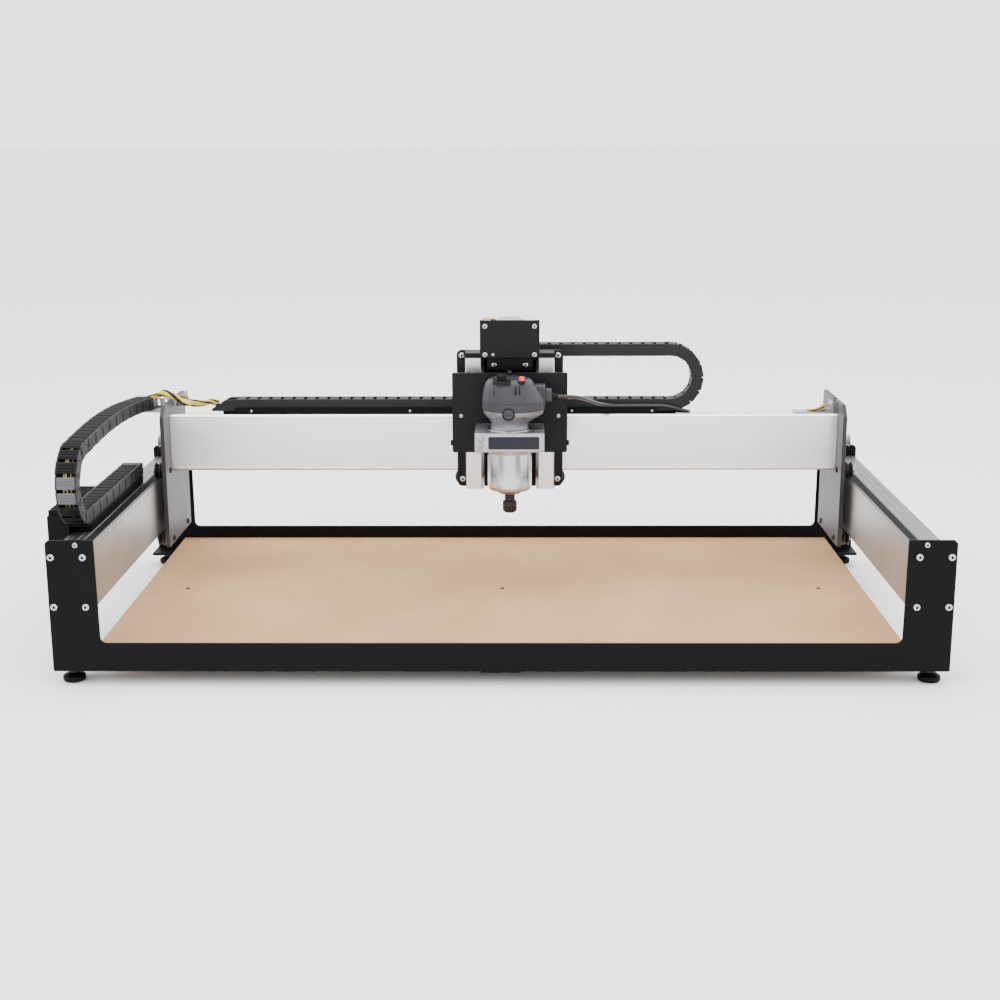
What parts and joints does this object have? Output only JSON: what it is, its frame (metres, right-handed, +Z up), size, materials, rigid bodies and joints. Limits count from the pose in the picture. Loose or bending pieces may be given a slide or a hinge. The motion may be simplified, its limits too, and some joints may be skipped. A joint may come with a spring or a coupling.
{
  "type": "cnc router",
  "caption": "Low steel frame with a wooden bed, belt-driven gantry on two side rails, sliding carriage and a clamped router lowered by a leadscrew.",
  "frame": {"origin": "middle of the footprint on the floor, under the feet; the controller enclosure on the left side counts in the footprint", "axes": "+X to the machine's right seen from the front, +Y from the front plate to the rear plate, +Z up"},
  "size_m": [1.1734, 0.6044, 0.424],
  "materials": {
    "black_steel": "satin powder coat",
    "rail_aluminium": "brushed and anodised",
    "fibreboard": "bare medium-density fibreboard",
    "foot_rubber": "matte",
    "belt_rubber": "matte, toothed",
    "grey_plate": "satin",
    "bare_steel": "satin",
    "motor_steel": "black laminations with bare end caps",
    "black_anodised": "black anodised",
    "brass": "turned",
    "polished_aluminium": "turned and polished",
    "grey_plastic": "fine moulded grain",
    "black_plastic": "moulded",
    "bright_steel": "turned",
    "red_plastic": "gloss",
    "wheel_resin": "turned"
  },
  "bodies": {
    "frame": {"front_end_plate": "black_steel", "rear_end_plate": "black_steel", "left_y_rail": "rail_aluminium", "right_y_rail": "rail_aluminium", "wasteboard": "fibreboard", "bed_brace": "black_steel", "front_left_foot": "foot_rubber", "front_right_foot": "foot_rubber", "rear_left_foot": "foot_rubber", "rear_right_foot": "foot_rubber", "left_y_belt": "belt_rubber", "right_y_belt": "belt_rubber", "controller_enclosure": "black_steel", "y_chain_tray": "black_steel"},
    "gantry": {"left_side_plate": "grey_plate", "right_side_plate": "grey_plate", "x_rail": "rail_aluminium", "x_belt": "belt_rubber", "left_y_motor": "motor_steel", "right_y_motor": "motor_steel", "x_chain_tray": "black_steel", "y_chain_bracket": "bare_steel"},
    "carriage": {"carriage_plate": "black_anodised", "left_z_column": "rail_aluminium", "right_z_column": "rail_aluminium", "x_motor": "motor_steel", "x_chain_bracket": "black_steel", "z_motor_cover": "black_steel", "z_motor": "motor_steel"},
    "z_slide_body": {"z_plate": "black_anodised", "leadscrew_nut": "brass", "router_clamp": "rail_aluminium", "router_body": "polished_aluminium", "router_head": "grey_plastic", "router_cord": "black_plastic"},
    "spindle_body": {"spindle": "bright_steel"},
    "leadscrew_body": {"leadscrew": "bright_steel"},
    "y_chain_lower_half": {"y_chain_lower": "black_plastic"},
    "y_chain_upper_half": {"y_chain_upper": "black_plastic"},
    "x_chain_lower_half": {"x_chain_lower": "black_plastic"},
    "x_chain_upper_half": {"x_chain_upper": "black_plastic"},
    "power_switch_body": {"power_switch": "red_plastic"},
    "speed_dial_body": {"speed_dial": "black_plastic"},
    "left_front_upper_wheel_body": {"left_front_upper_wheel": "wheel_resin"},
    "left_rear_upper_wheel_body": {"left_rear_upper_wheel": "wheel_resin"},
    "carriage_left_upper_wheel_body": {"carriage_left_upper_wheel": "wheel_resin"},
    "left_front_lower_wheel_body": {"left_front_lower_wheel": "wheel_resin"},
    "left_rear_lower_wheel_body": {"left_rear_lower_wheel": "wheel_resin"},
    "carriage_left_lower_wheel_body": {"carriage_left_lower_wheel": "wheel_resin"},
    "left_y_pulley_body": {"left_y_pulley": "bright_steel"},
    "right_front_upper_wheel_body": {"right_front_upper_wheel": "wheel_resin"},
    "right_rear_upper_wheel_body": {"right_rear_upper_wheel": "wheel_resin"},
    "carriage_right_upper_wheel_body": {"carriage_right_upper_wheel": "wheel_resin"},
    "right_front_lower_wheel_body": {"right_front_lower_wheel": "wheel_resin"},
    "right_rear_lower_wheel_body": {"right_rear_lower_wheel": "wheel_resin"},
    "carriage_right_lower_wheel_body": {"carriage_right_lower_wheel": "wheel_resin"},
    "right_y_pulley_body": {"right_y_pulley": "bright_steel"},
    "x_pulley_body": {"x_pulley": "bright_steel"}
  },
  "joints": [
    {"name": "y_slide", "type": "slide", "parent": "frame", "child": "gantry", "axis": [0, 1, 0], "range_m": [-0.382, 0.045], "deforming": ["y_chain_lower", "y_chain_upper"]},
    {"name": "x_slide", "type": "slide", "parent": "gantry", "child": "carriage", "axis": [1, 0, 0], "range_m": [-0.428, 0.406], "deforming": ["x_chain_lower", "x_chain_upper", "router_cord"]},
    {"name": "z_slide", "type": "slide", "parent": "carriage", "child": "z_slide_body", "axis": [0, 0, 1], "range_m": [-0.07, 0.018], "deforming": ["router_cord"]},
    {"name": "spindle_spin", "type": "hinge", "parent": "z_slide_body", "child": "spindle_body", "pos_m": [0.02775, 0.008, 0.165], "axis": [0, 0, 1], "continuous": true},
    {"name": "leadscrew_spin", "type": "hinge", "parent": "carriage", "child": "leadscrew_body", "pos_m": [0.02775, 0.084, 0.28], "axis": [0, 0, 1], "continuous": true},
    {"name": "y_chain_lower_travel", "type": "slide", "parent": "frame", "child": "y_chain_lower_half", "axis": [0, 1, 0], "range_m": [-0.195, 0.025]},
    {"name": "y_chain_upper_travel", "type": "slide", "parent": "gantry", "child": "y_chain_upper_half", "axis": [0, 1, 0], "range_m": [-0.025, 0.195]},
    {"name": "x_chain_lower_travel", "type": "slide", "parent": "gantry", "child": "x_chain_lower_half", "axis": [1, 0, 0], "range_m": [-0.216, 0.206]},
    {"name": "x_chain_upper_travel", "type": "slide", "parent": "carriage", "child": "x_chain_upper_half", "axis": [1, 0, 0], "range_m": [-0.206, 0.216]},
    {"name": "power_switch_slide", "type": "slide", "parent": "z_slide_body", "child": "power_switch_body", "axis": [1, 0, 0], "range_m": [0, 0.002]},
    {"name": "speed_dial_turn", "type": "hinge", "parent": "z_slide_body", "child": "speed_dial_body", "pos_m": [0.01675, -0.017, 0.352], "axis": [1, 0, 0], "range_deg": [0, 270]},
    {"name": "left_front_upper_wheel_spin", "type": "hinge", "parent": "gantry", "child": "left_front_upper_wheel_body", "pos_m": [-0.50375, 0.118, 0.1898], "axis": [1, 0, 0], "continuous": true},
    {"name": "left_rear_upper_wheel_spin", "type": "hinge", "parent": "gantry", "child": "left_rear_upper_wheel_body", "pos_m": [-0.50375, 0.22, 0.1898], "axis": [1, 0, 0], "continuous": true},
    {"name": "carriage_left_upper_wheel_spin", "type": "hinge", "parent": "carriage", "child": "carriage_left_upper_wheel_body", "pos_m": [-0.04355, 0.1325, 0.282], "axis": [0, 1, 0], "continuous": true},
    {"name": "left_front_lower_wheel_spin", "type": "hinge", "parent": "gantry", "child": "left_front_lower_wheel_body", "pos_m": [-0.50375, 0.118, 0.0848], "axis": [1, 0, 0], "continuous": true},
    {"name": "left_rear_lower_wheel_spin", "type": "hinge", "parent": "gantry", "child": "left_rear_lower_wheel_body", "pos_m": [-0.50375, 0.22, 0.0848], "axis": [1, 0, 0], "continuous": true},
    {"name": "carriage_left_lower_wheel_spin", "type": "hinge", "parent": "carriage", "child": "carriage_left_lower_wheel_body", "pos_m": [-0.04355, 0.1325, 0.177], "axis": [0, 1, 0], "continuous": true},
    {"name": "left_y_pulley_spin", "type": "hinge", "parent": "gantry", "child": "left_y_pulley_body", "pos_m": [-0.51575, 0.2115, 0.216], "axis": [1, 0, 0], "continuous": true},
    {"name": "right_front_upper_wheel_spin", "type": "hinge", "parent": "gantry", "child": "right_front_upper_wheel_body", "pos_m": [0.53725, 0.118, 0.1898], "axis": [1, 0, 0], "continuous": true},
    {"name": "right_rear_upper_wheel_spin", "type": "hinge", "parent": "gantry", "child": "right_rear_upper_wheel_body", "pos_m": [0.53725, 0.22, 0.1898], "axis": [1, 0, 0], "continuous": true},
    {"name": "carriage_right_upper_wheel_spin", "type": "hinge", "parent": "carriage", "child": "carriage_right_upper_wheel_body", "pos_m": [0.09905, 0.1325, 0.282], "axis": [0, 1, 0], "continuous": true},
    {"name": "right_front_lower_wheel_spin", "type": "hinge", "parent": "gantry", "child": "right_front_lower_wheel_body", "pos_m": [0.53725, 0.118, 0.0848], "axis": [1, 0, 0], "continuous": true},
    {"name": "right_rear_lower_wheel_spin", "type": "hinge", "parent": "gantry", "child": "right_rear_lower_wheel_body", "pos_m": [0.53725, 0.22, 0.0848], "axis": [1, 0, 0], "continuous": true},
    {"name": "carriage_right_lower_wheel_spin", "type": "hinge", "parent": "carriage", "child": "carriage_right_lower_wheel_body", "pos_m": [0.09905, 0.1325, 0.177], "axis": [0, 1, 0], "continuous": true},
    {"name": "right_y_pulley_spin", "type": "hinge", "parent": "gantry", "child": "right_y_pulley_body", "pos_m": [0.54925, 0.2115, 0.216], "axis": [1, 0, 0], "continuous": true},
    {"name": "x_pulley_spin", "type": "hinge", "parent": "carriage", "child": "x_pulley_body", "pos_m": [0.02775, 0.143, 0.325], "axis": [0, 1, 0], "continuous": true}
  ],
  "couplings": [
    {"joint": "leadscrew_spin", "follows": "z_slide", "rad_per_m": 785.4},
    {"joint": "y_chain_lower_travel", "follows": "y_slide", "ratio": 0.5},
    {"joint": "y_chain_upper_travel", "follows": "y_slide", "ratio": -0.5},
    {"joint": "x_chain_lower_travel", "follows": "x_slide", "ratio": 0.5},
    {"joint": "x_chain_upper_travel", "follows": "x_slide", "ratio": -0.5},
    {"joint": "left_front_upper_wheel_spin", "follows": "y_slide", "rad_per_m": -111.11},
    {"joint": "left_rear_upper_wheel_spin", "follows": "y_slide", "rad_per_m": -111.11},
    {"joint": "carriage_left_upper_wheel_spin", "follows": "x_slide", "rad_per_m": 111.11},
    {"joint": "left_front_lower_wheel_spin", "follows": "y_slide", "rad_per_m": 111.11},
    {"joint": "left_rear_lower_wheel_spin", "follows": "y_slide", "rad_per_m": 111.11},
    {"joint": "carriage_left_lower_wheel_spin", "follows": "x_slide", "rad_per_m": -111.11},
    {"joint": "left_y_pulley_spin", "follows": "y_slide", "rad_per_m": 125},
    {"joint": "right_front_upper_wheel_spin", "follows": "y_slide", "rad_per_m": -111.11},
    {"joint": "right_rear_upper_wheel_spin", "follows": "y_slide", "rad_per_m": -111.11},
    {"joint": "carriage_right_upper_wheel_spin", "follows": "x_slide", "rad_per_m": 111.11},
    {"joint": "right_front_lower_wheel_spin", "follows": "y_slide", "rad_per_m": 111.11},
    {"joint": "right_rear_lower_wheel_spin", "follows": "y_slide", "rad_per_m": 111.11},
    {"joint": "carriage_right_lower_wheel_spin", "follows": "x_slide", "rad_per_m": -111.11},
    {"joint": "right_y_pulley_spin", "follows": "y_slide", "rad_per_m": 125},
    {"joint": "x_pulley_spin", "follows": "x_slide", "rad_per_m": -125}
  ]
}
